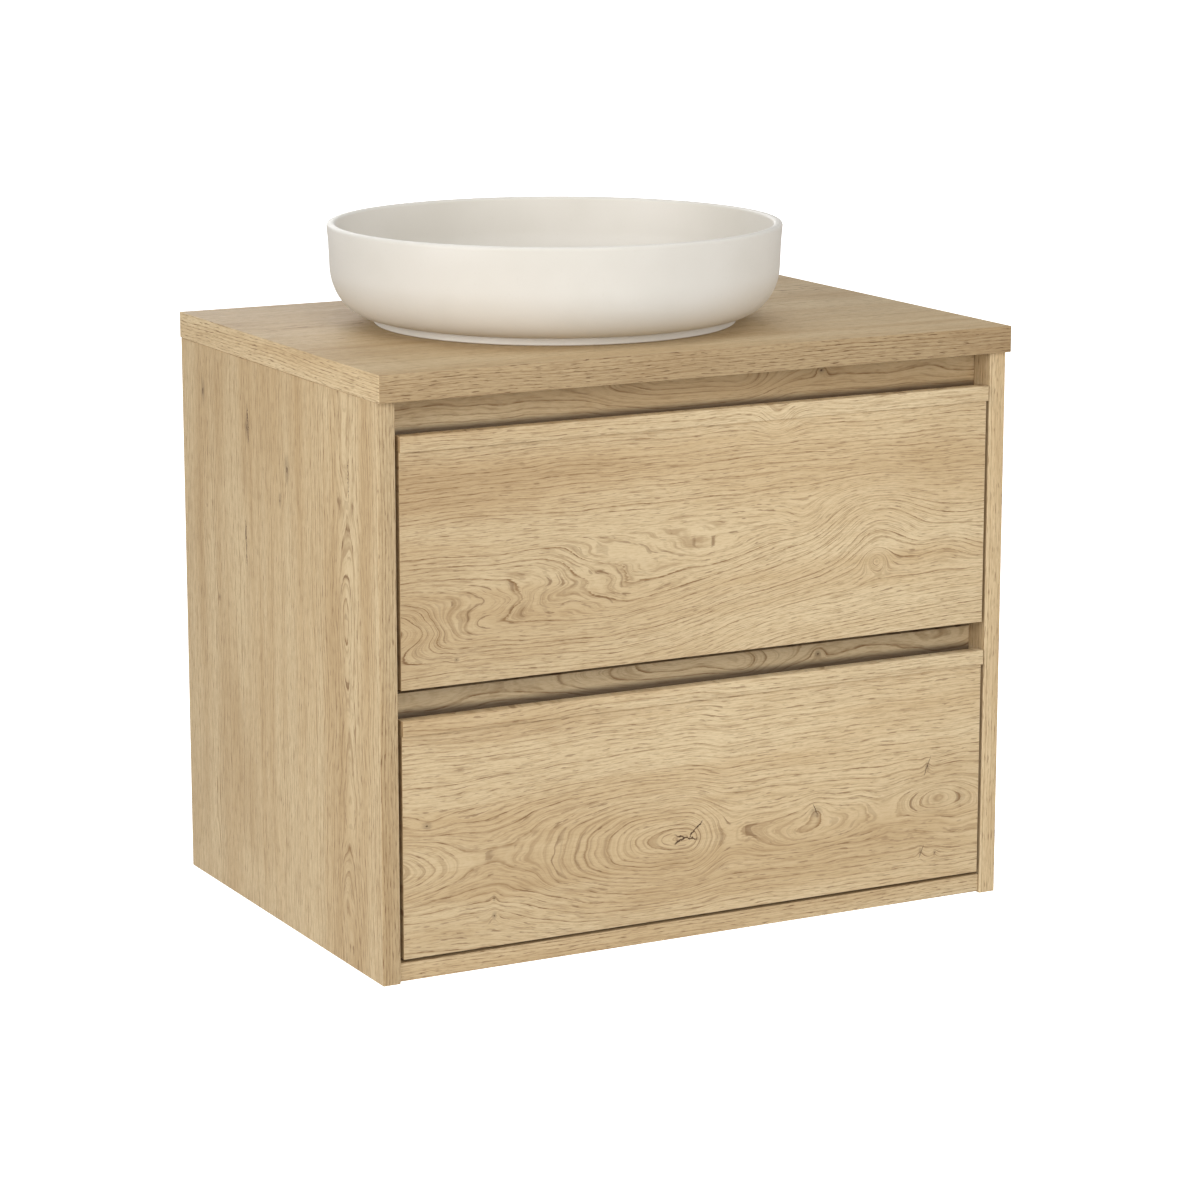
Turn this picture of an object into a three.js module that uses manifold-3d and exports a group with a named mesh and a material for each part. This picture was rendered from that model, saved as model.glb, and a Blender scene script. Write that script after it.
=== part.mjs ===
// Wall-hung bathroom vanity: two oak drawers, an oak worktop and a round vessel basin.
// Millimetres. +X is to the right of a person facing it, -Y is the front, +Z is up.
// The wall is the plane y = 0. Heights in this file are measured from the cabinet's underside,
// and the finished group is lowered so that the origin is the middle of the lower back rail.

import * as THREE from 'three';
import { mergeVertices } from 'three/addons/utils/BufferGeometryUtils.js';
import Module from 'manifold-3d';

const wasm = await Module();
wasm.setup();

// ---- driving dimensions ----

const seat = 0.3; // gap left between two pieces that touch
const cabinet = { width: 600, depth: 414, height: 486, board: 16, bottomRecess: 1.5 };
const worktop = { thickness: 23, sideOverhang: 1, frontOverhang: 7, wasteHole: 32 };
const basin = {
  radius: 198, height: 87, wall: 8, rimRound: 3, taper: 2,
  footRadius: 158, footHeight: 7, footWidth: 9, footHollow: 4, bossRadius: 44,
  cornerOut: 36, cornerUp: 44, innerCornerIn: 60, innerCornerUp: 44,
  floor: 15, drainDish: 3, dishRadius: 34, drainRadius: 22.5,
  offset: -32, wallClearance: 7,
};
const rail = { setback: 24, topHeight: 60, middleHeight: 44, middleDrop: 8 };
const backRail = { height: 80, recess: 18 };
const front = { thickness: 18, gap: 3, topGap: 28.4, middleGap: 25, lowerHeight: 202.5 };
const grip = { height: 13, proud: 3, extra: 0.2, bevel: 10 };
const box = { side: 12, bottom: 8, lift: 8, bottomLift: 6, backDrop: 10, railClearance: 16 };
const recess = { clearWidth: 190, frontClearance: 76 };
const runner = { slot: 12.7, height: 45, sheet: 1.2, ballGap: 1, rise: 40, lengthStep: 50, rearGap: 10 };
const hanger = { width: 15, height: 50, below: 8, arm: 7, hookDrop: 7, hookThickness: 3 };
const plate = { width: 40, height: 34, sheet: 2, lipOut: 7, lipUp: 8, sideGap: 4 };
const waste = {
  flangeRadius: 32, flangeHeight: 2.5, tailRadius: 20, wall: 3.7, tailBelow: 36,
  nutRadius: 34, nutHeight: 8, sealRadius: 38, sealHeight: 3, ribWidth: 3, ribHeight: 6, ribDepth: 22,
};
const plug = { radius: 30, thickness: 4, dome: 2.5, rise: 2, stemRadius: 4, stemLength: 40, hub: 7.5 };
const trap = {
  pipeRadius: 16, pipeWall: 1.5, bodyRadius: 30, bodyWall: 3, bodyHeight: 92, cupHeight: 44,
  neckRadius: 21, neckHeight: 16, nutRadius: 26, nutHeight: 24, nutLip: 6, beadHeight: 3,
  dipIntoCup: 22, neckBelowTail: 26, outletDrop: 34, stubLength: 16, stubWall: 2.2, roseRadius: 34,
  roseHeight: 6,
};

// ---- derived places ----

const halfWidth = cabinet.width / 2;
const innerHalf = halfWidth - cabinet.board;
const bottomTop = cabinet.bottomRecess + cabinet.board;
const worktopBottom = cabinet.height + seat;
const worktopTop = worktopBottom + worktop.thickness;
const basinBottom = worktopTop + seat;
const axisX = basin.offset;
const axisY = -(basin.wallClearance + basin.radius);
const originHeight = bottomTop + seat + backRail.height / 2;

const lowerFrontBottom = bottomTop + front.gap;
const lowerFrontTop = lowerFrontBottom + front.lowerHeight;
const upperFrontBottom = lowerFrontTop + front.middleGap;
const upperFrontTop = cabinet.height - front.topGap;
const topRailBottom = cabinet.height - rail.topHeight;
const middleRailTop = upperFrontBottom - rail.middleDrop;
const middleRailBottom = middleRailTop - rail.middleHeight;
const frontBack = -cabinet.depth + front.thickness;
const backRailFront = -(backRail.recess + cabinet.board);

const boxFront = frontBack + seat;
const runnerLength = runner.lengthStep
  * Math.floor((backRailFront - runner.rearGap - boxFront) / runner.lengthStep);
const boxBack = boxFront + runnerLength;
const boxHalf = innerHalf - runner.slot;
const boxInner = boxHalf - box.side;

// ---- materials ----

function material(color, roughness, metalness) {
  return new THREE.MeshStandardMaterial({ color, roughness, metalness });
}

const oak = material('#c4ab83', 0.6, 0);
const oakEdge = material('#bda27a', 0.65, 0);
const drawerBoard = material('#cfc7b8', 0.6, 0);
const ceramic = material('#e6e0d4', 0.35, 0);
const zinc = material('#b4b6b6', 0.4, 0.9);
const chrome = material('#d6d8da', 0.15, 1);
const whitePlastic = material('#ecebe6', 0.45, 0);
const seal = material('#d9d7d0', 0.7, 0);

// ---- shape helpers ----

const X = new THREE.Vector3(1, 0, 0);
const Y = new THREE.Vector3(0, 1, 0);
const Z = new THREE.Vector3(0, 0, 1);

function meshOf(name, geometry, look) {
  const mesh = new THREE.Mesh(geometry, look);
  mesh.name = name;
  return mesh;
}

function board(name, [x0, x1], [y0, y1], [z0, z1], look) {
  const mesh = meshOf(name, new THREE.BoxGeometry(x1 - x0, y1 - y0, z1 - z0), look);
  mesh.position.set((x0 + x1) / 2, (y0 + y1) / 2, (z0 + z1) / 2);
  return mesh;
}

function extrude(points, depth) {
  const shape = new THREE.Shape(points.map(([u, v]) => new THREE.Vector2(u, v)));
  return new THREE.ExtrudeGeometry(shape, { depth, bevelEnabled: false });
}

// A (y, z) outline drawn along +X from x0.
function alongX(points, x0, length) {
  const geometry = extrude(points, length);
  geometry.applyMatrix4(new THREE.Matrix4().makeBasis(Y, Z, X));
  return geometry.translate(x0, 0, 0);
}

// An (x, z) outline drawn towards the front from y0.
function towardsFront(points, y0, length) {
  const geometry = extrude(points, length);
  geometry.applyMatrix4(new THREE.Matrix4().makeBasis(X, Z, Y.clone().negate()));
  return geometry.translate(0, y0, 0);
}

// A ring or solid of revolution about +Z from (radius, height) points.
function turned(points, segments) {
  const profile = points.map(([r, z]) => new THREE.Vector2(r, z));
  return new THREE.LatheGeometry(profile, segments).rotateX(Math.PI / 2);
}

function closedLoop(points) {
  return [...points, points[0]];
}

// A plain tube about +Z.
function tube(inner, outer, z0, z1, segments) {
  return turned(closedLoop([[inner, z0], [outer, z0], [outer, z1], [inner, z1]]), segments);
}

function rod(radius, z0, z1, segments) {
  const geometry = new THREE.CylinderGeometry(radius, radius, z1 - z0, segments);
  return geometry.rotateX(Math.PI / 2).translate(0, 0, (z0 + z1) / 2);
}

// Turns a piece made about +Z so that its axis runs along +Y, towards the wall.
function towardsWall(geometry) {
  return geometry.rotateX(-Math.PI / 2);
}

function solid(geometry) {
  const bare = geometry.clone();
  bare.deleteAttribute('normal');
  bare.deleteAttribute('uv');
  const merged = mergeVertices(bare, 1e-4);
  const mesh = new wasm.Mesh({
    numProp: 3,
    vertProperties: new Float32Array(merged.attributes.position.array),
    triVerts: new Uint32Array(merged.index.array),
  });
  mesh.merge();
  return new wasm.Manifold(mesh);
}

function geometryOf(manifold) {
  const mesh = manifold.getMesh();
  const geometry = new THREE.BufferGeometry();
  geometry.setAttribute('position', new THREE.BufferAttribute(new Float32Array(mesh.vertProperties), 3));
  geometry.setIndex(new THREE.BufferAttribute(new Uint32Array(mesh.triVerts), 1));
  geometry.computeVertexNormals();
  return geometry;
}

// Points of a quarter ellipse about (r, z), with half axes a and b, between two angles in degrees.
function arc(r, z, a, b, from, to, steps) {
  const points = [];
  for (let i = 0; i <= steps; i += 1) {
    const angle = THREE.MathUtils.degToRad(from + ((to - from) * i) / steps);
    points.push([r + a * Math.cos(angle), z + b * Math.sin(angle)]);
  }
  return points;
}

// ---- cabinet ----

function carcass() {
  const { depth, height, bottomRecess } = cabinet;
  const inside = [-innerHalf + seat, innerHalf - seat];
  const railFront = -depth + rail.setback;
  const railSpan = [railFront, railFront + cabinet.board];
  return [
    board('side_panel_left', [-halfWidth, -innerHalf], [-depth, 0], [0, height], oak),
    board('side_panel_right', [innerHalf, halfWidth], [-depth, 0], [0, height], oak),
    board('bottom_panel', inside, [-depth + bottomRecess, 0], [bottomRecess, bottomTop], oak),
    board('front_rail_top', inside, railSpan, [topRailBottom, height], oakEdge),
    board('front_rail_middle', inside, railSpan, [middleRailBottom, middleRailTop], oakEdge),
    board('back_rail_upper', inside, [backRailFront, -backRail.recess],
      [height - backRail.height, height], oakEdge),
    board('back_rail_lower', inside, [-cabinet.board, 0],
      [bottomTop + seat, bottomTop + seat + backRail.height], oakEdge),
  ];
}

function worktopBoard() {
  const width = cabinet.width + 2 * worktop.sideOverhang;
  const depth = cabinet.depth + worktop.frontOverhang;
  const slab = new THREE.BoxGeometry(width, depth, worktop.thickness);
  slab.translate(0, -depth / 2, worktopBottom + worktop.thickness / 2);
  const hole = rod(worktop.wasteHole, worktopBottom - 1, worktopTop + 1, 48).translate(axisX, axisY, 0);
  return meshOf('worktop', geometryOf(solid(slab).subtract(solid(hole))), oak);
}

// ---- wall hanging ----

function hangers() {
  const top = cabinet.height - hanger.below;
  const lipTop = top - hanger.arm - seat;
  const plateTop = lipTop - plate.lipUp;
  const hookBack = -(plate.lipOut - plate.sheet) + seat;
  const hookFront = -backRail.recess + seat;
  const hook = [
    [hookFront, top - hanger.height], [-plate.lipOut - seat, top - hanger.height],
    [-plate.lipOut - seat, top - hanger.arm], [hookBack, top - hanger.arm],
    [hookBack, top - hanger.arm - hanger.hookDrop],
    [hookBack + hanger.hookThickness, top - hanger.arm - hanger.hookDrop],
    [hookBack + hanger.hookThickness, top], [hookFront, top],
  ];
  const wallPlate = [
    [0, plateTop - plate.height], [0, plateTop], [-(plate.lipOut - plate.sheet), plateTop],
    [-(plate.lipOut - plate.sheet), lipTop], [-plate.lipOut, lipTop],
    [-plate.lipOut, plateTop - plate.sheet], [-plate.sheet, plateTop - plate.sheet],
    [-plate.sheet, plateTop - plate.height],
  ];
  const meshes = [];
  for (const [side, sign] of [['left', -1], ['right', 1]]) {
    const outer = innerHalf - seat;
    const hangerX = sign < 0 ? -outer : outer - hanger.width;
    const plateOuter = innerHalf - plate.sideGap;
    const plateX = sign < 0 ? -plateOuter : plateOuter - plate.width;
    meshes.push(
      meshOf(`hanger_${side}`, alongX([...hook].reverse(), hangerX, hanger.width), zinc),
      meshOf(`wall_plate_${side}`, alongX(wallPlate, plateX, plate.width), zinc),
    );
  }
  return meshes;
}

// ---- runners ----

// A C-shaped sheet section, open to the side that sign points to, with its web at x = web.
function channel(web, reach, halfHeight, sign, middle) {
  const t = runner.sheet;
  const points = [
    [web, middle - halfHeight], [web + sign * reach, middle - halfHeight],
    [web + sign * reach, middle - halfHeight + t], [web + sign * t, middle - halfHeight + t],
    [web + sign * t, middle + halfHeight - t], [web + sign * reach, middle + halfHeight - t],
    [web + sign * reach, middle + halfHeight], [web, middle + halfHeight],
  ];
  return sign > 0 ? points : points.reverse();
}

// The three nested profiles of one runner; sign is -1 on the left side and 1 on the right.
function runnerProfiles(level, side, sign, boxBottom) {
  const middle = boxBottom + runner.rise;
  const step = runner.sheet + runner.ballGap;
  const half = runner.height / 2;
  const cabinetWeb = sign * (innerHalf - seat);
  const middleWeb = cabinetWeb - sign * step;
  const drawerWeb = sign * (boxHalf + seat);
  const reach = runner.slot - 2 * seat - step;
  const profiles = [
    ['cabinet', channel(cabinetWeb, reach, half, -sign, middle)],
    ['middle', channel(middleWeb, reach - runner.sheet, half - step, -sign, middle)],
    ['drawer', channel(drawerWeb, reach - step, half - 2 * step, sign, middle)],
  ];
  return profiles.map(([part, outline]) => meshOf(
    `${level}_runner_${part}_${side}`, towardsFront(outline, boxBack, runnerLength), zinc,
  ));
}

function runners(level, frontBottom) {
  const bottom = frontBottom + box.lift;
  return [...runnerProfiles(level, 'left', -1, bottom), ...runnerProfiles(level, 'right', 1, bottom)];
}

// ---- drawers ----

function drawerFront(level, z0, z1) {
  const half = innerHalf - front.gap;
  const gripBottom = z1 - grip.height;
  const face = -cabinet.depth - grip.proud;
  const outline = [
    [face, gripBottom + seat], [frontBack, gripBottom + seat], [frontBack, z1 - grip.bevel],
    [frontBack - grip.bevel, z1], [face, z1],
  ];
  const gripHalf = half + grip.extra;
  return [
    board(`${level}_drawer_front`, [-half, half], [-cabinet.depth, frontBack], [z0, gripBottom], oak),
    meshOf(`${level}_grip_strip`, alongX(outline, -gripHalf, 2 * gripHalf), oak),
  ];
}

function drawerSides(level, z0, z1) {
  return [['left', -1], ['right', 1]].map(([side, sign]) => {
    const span = sign < 0 ? [-boxHalf, -boxInner] : [boxInner, boxHalf];
    return board(`${level}_drawer_side_${side}`, span, [boxFront, boxBack], [z0, z1], drawerBoard);
  });
}

function lowerDrawer() {
  const z0 = lowerFrontBottom + box.lift;
  const z1 = middleRailBottom - box.railClearance;
  const inside = [-boxInner + seat, boxInner - seat];
  const floor = [z0 + box.bottomLift, z0 + box.bottomLift + box.bottom];
  return [
    ...drawerFront('lower', lowerFrontBottom, lowerFrontTop),
    ...drawerSides('lower', z0, z1),
    board('lower_drawer_back', inside, [boxBack - box.side, boxBack], [z0, z1 - box.backDrop], drawerBoard),
    board('lower_drawer_bottom', inside, [boxFront, boxBack - box.side - seat], floor, drawerBoard),
  ];
}

// The upper box has a recess, open at the back, that lets it pass the trap.
function upperDrawer() {
  const z0 = upperFrontBottom + box.lift;
  const z1 = topRailBottom - box.railClearance;
  const inner = boxInner - seat;
  const left = axisX - recess.clearWidth / 2;
  const right = axisX + recess.clearWidth / 2;
  const recessFront = axisY - recess.frontClearance;
  const walls = [z0, z1 - box.backDrop];
  const backSpan = [boxBack - box.side, boxBack];
  const wallSpan = [recessFront + seat, boxBack];
  return [
    ...drawerFront('upper', upperFrontBottom, upperFrontTop),
    ...drawerSides('upper', z0, z1),
    board('upper_drawer_back_left', [-inner, left - box.side - seat], backSpan, walls, drawerBoard),
    board('upper_drawer_back_right', [right + box.side + seat, inner], backSpan, walls, drawerBoard),
    board('trap_recess_wall_left', [left - box.side, left], wallSpan, walls, whitePlastic),
    board('trap_recess_wall_right', [right, right + box.side], wallSpan, walls, whitePlastic),
    board('trap_recess_wall_front', [left - box.side, right + box.side],
      [recessFront - box.side, recessFront], walls, whitePlastic),
    upperDrawerBottom(z0 + box.bottomLift, left, right, recessFront),
  ];
}

function upperDrawerBottom(z0, left, right, recessFront) {
  const inner = boxInner - seat;
  const back = boxBack - box.side - seat;
  const cutLeft = left - box.side - seat;
  const cutRight = right + box.side + seat;
  const cutFront = recessFront - box.side - seat;
  const outline = [
    [-inner, boxFront], [inner, boxFront], [inner, back], [cutRight, back],
    [cutRight, cutFront], [cutLeft, cutFront], [cutLeft, back], [-inner, back],
  ];
  return meshOf('upper_drawer_bottom', extrude(outline, box.bottom).translate(0, 0, z0), drawerBoard);
}

// ---- basin and its waste ----

function onAxis(mesh) {
  mesh.position.set(axisX, axisY, 0);
  return mesh;
}

function basinProfile() {
  const b = basin;
  const top = b.height - b.rimRound;
  const outerLow = b.radius - b.taper;
  const innerTop = b.radius - b.wall;
  const innerLow = innerTop - b.taper;
  const footInner = b.footRadius - b.footWidth;
  return closedLoop([
    [b.drainRadius, 0], [b.bossRadius, 0], [b.bossRadius, b.footHollow], [footInner, b.footHollow],
    [footInner, 0], [b.footRadius, 0], [b.footRadius - 1, b.footHeight],
    ...arc(outerLow - b.cornerOut, b.footHeight + b.cornerUp, b.cornerOut, b.cornerUp, -90, 0, 8),
    ...arc(b.radius - b.rimRound, top, b.rimRound, b.rimRound, 0, 90, 3),
    ...arc(innerTop + b.rimRound, top, b.rimRound, b.rimRound, 90, 180, 3),
    ...arc(innerLow - b.innerCornerIn, b.floor + b.innerCornerUp, b.innerCornerIn, b.innerCornerUp,
      0, -90, 9),
    [b.dishRadius + 2, b.floor - 1], [b.dishRadius, b.floor - 1 - b.drainDish],
    [b.drainRadius, b.floor - 1 - b.drainDish],
  ]);
}

const dishFloor = basinBottom + basin.floor - 1 - basin.drainDish;
const flangeTop = dishFloor + seat + waste.flangeHeight;
const tailBottom = worktopBottom - waste.tailBelow;
const tailInner = waste.tailRadius - waste.wall;

function basinBowl() {
  const bowl = meshOf('basin', turned(basinProfile(), 72), ceramic);
  bowl.position.set(axisX, axisY, basinBottom);
  return bowl;
}

// The waste's flange and tail, with a cross rib and a hub that guide the plug's stem.
function wasteBody() {
  const ring = turned(closedLoop([
    [tailInner, tailBottom], [waste.tailRadius, tailBottom],
    [waste.tailRadius, flangeTop - waste.flangeHeight],
    [waste.flangeRadius, flangeTop - waste.flangeHeight], [waste.flangeRadius, flangeTop - 1],
    [waste.flangeRadius - 2, flangeTop], [tailInner + 2, flangeTop], [tailInner, flangeTop - 2],
  ]), 36);
  const ribTop = flangeTop - waste.ribDepth;
  const ribBottom = ribTop - waste.ribHeight;
  const ribReach = 2 * tailInner + waste.wall;
  let body = solid(ring).add(solid(rod(plug.hub, ribBottom, ribTop, 24)));
  for (const [w, d] of [[ribReach, waste.ribWidth], [waste.ribWidth, ribReach]]) {
    const rib = new THREE.BoxGeometry(w, d, waste.ribHeight);
    body = body.add(solid(rib.translate(0, 0, (ribTop + ribBottom) / 2)));
  }
  const bore = rod(plug.stemRadius + seat, ribBottom - 1, ribTop + 1, 24);
  return onAxis(meshOf('waste_body', geometryOf(body.subtract(solid(bore))), chrome));
}

function wasteFixings() {
  const inner = waste.tailRadius + seat;
  const sealTop = worktopBottom - seat;
  const sealBottom = sealTop - waste.sealHeight;
  const nutTop = sealBottom - seat;
  return [
    onAxis(meshOf('waste_seal', tube(inner, waste.sealRadius, sealBottom, sealTop, 36), seal)),
    onAxis(meshOf('waste_lock_nut', tube(inner, waste.nutRadius, nutTop - waste.nutHeight, nutTop, 36),
      whitePlastic)),
  ];
}

// The plug rests on the flange and lifts to open.
function plugPieces() {
  const bottom = flangeTop + seat;
  const top = bottom + plug.thickness;
  const stemTop = bottom - seat;
  const cap = [
    [0, bottom], [plug.radius - 2, bottom], [plug.radius, bottom + 1.5], [plug.radius, top - 1],
    [plug.radius - 1, top], [plug.radius / 2, top + plug.dome * 0.75], [0, top + plug.dome],
  ];
  return [
    onAxis(meshOf('plug_cap', turned(cap, 36), chrome)),
    onAxis(meshOf('plug_stem', rod(plug.stemRadius, stemTop - plug.stemLength, stemTop, 20), chrome)),
  ];
}

// ---- trap ----

const trapNeckTop = tailBottom - trap.neckBelowTail;
const trapBodyTop = trapNeckTop - trap.neckHeight;
const trapBodyBottom = trapBodyTop - trap.bodyHeight;
const trapCupBottom = trapBodyBottom - seat - trap.cupHeight;
const outletHeight = trapBodyTop - trap.outletDrop;
const stubRadius = trap.pipeRadius + seat + trap.stubWall;
const stubEnd = trap.bodyRadius + trap.stubLength;

function dipTube() {
  const bore = trap.pipeRadius - trap.pipeWall;
  const beadTop = tailBottom - seat;
  const beadBottom = beadTop - trap.beadHeight;
  const end = trapBodyBottom - trap.dipIntoCup;
  return onAxis(meshOf('trap_dip_tube', turned(closedLoop([
    [bore, end], [trap.pipeRadius, end], [trap.pipeRadius, beadBottom],
    [waste.tailRadius, beadBottom], [waste.tailRadius, beadTop], [bore, beadTop],
  ]), 32), whitePlastic));
}

function tailNut() {
  const lipTop = tailBottom - 2 * seat - trap.beadHeight;
  const bottom = lipTop - trap.nutLip;
  const outer = trap.nutRadius;
  return onAxis(meshOf('trap_tail_nut', turned(closedLoop([
    [trap.pipeRadius + seat, bottom], [outer, bottom], [outer, bottom + trap.nutHeight],
    [waste.tailRadius + seat, bottom + trap.nutHeight], [waste.tailRadius + seat, lipTop],
    [trap.pipeRadius + seat, lipTop],
  ]), 32), whitePlastic));
}

function trapBody() {
  const inner = trap.bodyRadius - trap.bodyWall;
  const fit = trap.pipeRadius + seat;
  const shell = solid(turned(closedLoop([
    [inner, trapBodyBottom], [trap.bodyRadius, trapBodyBottom], [trap.bodyRadius, trapBodyTop - 6],
    [trap.bodyRadius - 6, trapBodyTop], [trap.neckRadius, trapBodyTop],
    [trap.neckRadius, trapNeckTop], [fit, trapNeckTop], [fit, trapBodyTop - 4],
    [inner - 4, trapBodyTop - 4], [inner, trapBodyTop - 8],
  ]), 32));
  const stub = towardsWall(rod(stubRadius, inner + 1, stubEnd, 32)).translate(0, 0, outletHeight);
  const bore = towardsWall(rod(fit, fit, stubEnd + 1, 32)).translate(0, 0, outletHeight);
  return onAxis(meshOf('trap_body', geometryOf(shell.add(solid(stub)).subtract(solid(bore))),
    whitePlastic));
}

function trapCup() {
  const top = trapBodyBottom - seat;
  const inner = trap.bodyRadius - trap.bodyWall;
  const low = trap.bodyRadius - 6;
  const cup = [
    [0, trapCupBottom], [low, trapCupBottom], [trap.bodyRadius, trapCupBottom + 8],
    [trap.bodyRadius, top - 14], [trap.bodyRadius + 3, top - 14], [trap.bodyRadius + 3, top],
    [inner, top], [inner, trapCupBottom + 10], [low - trap.bodyWall, trapCupBottom + trap.bodyWall],
    [0, trapCupBottom + trap.bodyWall],
  ];
  return onAxis(meshOf('trap_cup', turned(cup, 32), whitePlastic));
}

// Outlet pieces lie along +Y at the outlet's height, from the trap's stub to the wall.
function outletPieces() {
  const pipeStart = trap.bodyRadius + 2;
  const toWall = -axisY;
  const bore = trap.pipeRadius - trap.pipeWall;
  const fit = trap.pipeRadius + seat;
  const nutInner = stubRadius + seat;
  const nutStart = stubEnd - 10;
  const nutEnd = stubEnd + seat + trap.nutLip;
  const roseStart = toWall - trap.roseHeight;
  const pieces = {
    outlet_pipe: tube(bore, trap.pipeRadius, pipeStart, toWall, 32),
    outlet_nut: turned(closedLoop([
      [nutInner, nutStart], [trap.nutRadius, nutStart], [trap.nutRadius, nutEnd], [fit, nutEnd],
      [fit, stubEnd + seat], [nutInner, stubEnd + seat],
    ]), 32),
    wall_rose: turned(closedLoop([
      [fit, roseStart], [fit + 5, roseStart], [trap.roseRadius, toWall - 1.5],
      [trap.roseRadius, toWall], [fit, toWall],
    ]), 32),
  };
  return Object.entries(pieces).map(([name, geometry]) => {
    const mesh = meshOf(name, towardsWall(geometry), name === 'wall_rose' ? chrome : whitePlastic);
    mesh.position.set(axisX, axisY, outletHeight);
    return mesh;
  });
}

// ---- assembly ----

const vanity = new THREE.Group();
vanity.add(
  ...carcass(), worktopBoard(), ...hangers(),
  ...runners('upper', upperFrontBottom), ...runners('lower', lowerFrontBottom),
  ...upperDrawer(), ...lowerDrawer(),
  basinBowl(), wasteBody(), ...wasteFixings(), ...plugPieces(),
  dipTube(), tailNut(), trapBody(), trapCup(), ...outletPieces(),
);
vanity.position.z = -originHeight;

export default vanity;
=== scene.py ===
"""A wall-hung oak vanity with two drawers and a round vessel basin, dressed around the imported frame.

Metres. +X is to the right of a person facing it, -Y is the front, +Z is up, the wall is y = 0.
"""

import math

import bpy
from mathutils import Matrix, Vector


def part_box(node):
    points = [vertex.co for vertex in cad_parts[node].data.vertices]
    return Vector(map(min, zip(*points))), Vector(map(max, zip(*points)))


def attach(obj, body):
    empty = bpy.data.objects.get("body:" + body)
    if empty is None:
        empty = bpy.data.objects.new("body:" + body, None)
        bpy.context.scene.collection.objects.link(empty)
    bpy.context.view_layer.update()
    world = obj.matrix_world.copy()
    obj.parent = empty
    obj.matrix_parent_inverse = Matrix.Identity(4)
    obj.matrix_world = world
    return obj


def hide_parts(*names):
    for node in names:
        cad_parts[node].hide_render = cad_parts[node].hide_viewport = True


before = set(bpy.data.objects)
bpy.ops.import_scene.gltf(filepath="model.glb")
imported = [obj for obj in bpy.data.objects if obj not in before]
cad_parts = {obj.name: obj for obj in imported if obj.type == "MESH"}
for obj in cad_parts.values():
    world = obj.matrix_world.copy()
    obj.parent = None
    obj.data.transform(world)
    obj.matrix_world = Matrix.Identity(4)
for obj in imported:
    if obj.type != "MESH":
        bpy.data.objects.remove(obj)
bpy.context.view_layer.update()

MM = 0.001


# ---- node graphs ----


def tint(red, green, blue):
    """A colour written as it looks on a screen, 0 to 255, as linear light."""

    def linear(value):
        value /= 255
        return value / 12.92 if value <= 0.04045 else ((value + 0.055) / 1.055) ** 2.4

    return (linear(red), linear(green), linear(blue), 1.0)


class Graph:
    """One material's node tree, with a short call for each kind of node."""

    def __init__(self, name):
        self.material = bpy.data.materials.new(name)
        self.material.use_nodes = True
        self.tree = self.material.node_tree
        self.shader = self.tree.nodes["Principled BSDF"]
        self.place = self.node("ShaderNodeTexCoord").outputs["Object"]

    def node(self, kind, **settings):
        made = self.tree.nodes.new(kind)
        for key, value in settings.items():
            setattr(made, key, value)
        return made

    def feed(self, socket, value):
        if isinstance(value, bpy.types.NodeSocket):
            self.tree.links.new(value, socket)
        else:
            socket.default_value = value

    def math(self, operation, *values, clamp=False):
        made = self.node("ShaderNodeMath", operation=operation, use_clamp=clamp)
        for socket, value in zip(made.inputs, values):
            self.feed(socket, value)
        return made.outputs[0]

    def total(self, *values):
        result = values[0]
        for value in values[1:]:
            result = self.math("ADD", result, value)
        return result

    def about_zero(self, value, size):
        """A 0 to 1 value turned into one that swings by size about zero."""
        return self.math("MULTIPLY_ADD", value, size, -0.5 * size)

    def vector(self, operation, *values):
        made = self.node("ShaderNodeVectorMath", operation=operation)
        for socket, value in zip(made.inputs, values):
            self.feed(socket, value)
        return made.outputs["Vector"]

    def split(self, vector):
        made = self.node("ShaderNodeSeparateXYZ")
        self.feed(made.inputs[0], vector)
        return made.outputs

    def join(self, x, y, z):
        made = self.node("ShaderNodeCombineXYZ")
        for socket, value in zip(made.inputs, (x, y, z)):
            self.feed(socket, value)
        return made.outputs[0]

    def noise(self, vector, scale=1.0, detail=2.0, roughness=0.5):
        made = self.node("ShaderNodeTexNoise")
        self.feed(made.inputs["Vector"], vector)
        self.feed(made.inputs["Scale"], scale)
        self.feed(made.inputs["Detail"], detail)
        self.feed(made.inputs["Roughness"], roughness)
        return made.outputs["Fac"]

    def random(self, value):
        made = self.node("ShaderNodeTexWhiteNoise", noise_dimensions="1D")
        self.feed(made.inputs["W"], value)
        return made.outputs["Value"]

    def ramp(self, value, low, high, start=0.0, end=1.0):
        """A smooth step from start to end as value goes from low to high, with low under high."""
        made = self.node("ShaderNodeMapRange", interpolation_type="SMOOTHSTEP")
        for socket, number in zip(made.inputs, (value, low, high, start, end)):
            self.feed(socket, number)
        return made.outputs["Result"]

    def blend(self, amount, first, second, kind="MIX"):
        made = self.node("ShaderNodeMix", data_type="RGBA", blend_type=kind)
        self.feed(made.inputs["Factor"], amount)
        self.feed(made.inputs[6], first)
        self.feed(made.inputs[7], second)
        return made.outputs[2]

    def relief(self, height, depth, strength=1.0):
        """Bump of the given depth in metres."""
        made = self.node("ShaderNodeBump")
        self.feed(made.inputs["Height"], height)
        made.inputs["Distance"].default_value = depth
        made.inputs["Strength"].default_value = strength
        self.feed(self.shader.inputs["Normal"], made.outputs["Normal"])

    def finish(self, color, roughness, **constants):
        self.feed(self.shader.inputs["Base Color"], color)
        self.feed(self.shader.inputs["Roughness"], roughness)
        for name, value in constants.items():
            self.shader.inputs[name.replace("_", " ")].default_value = value
        return self.material


# ---- oak ----

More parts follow.
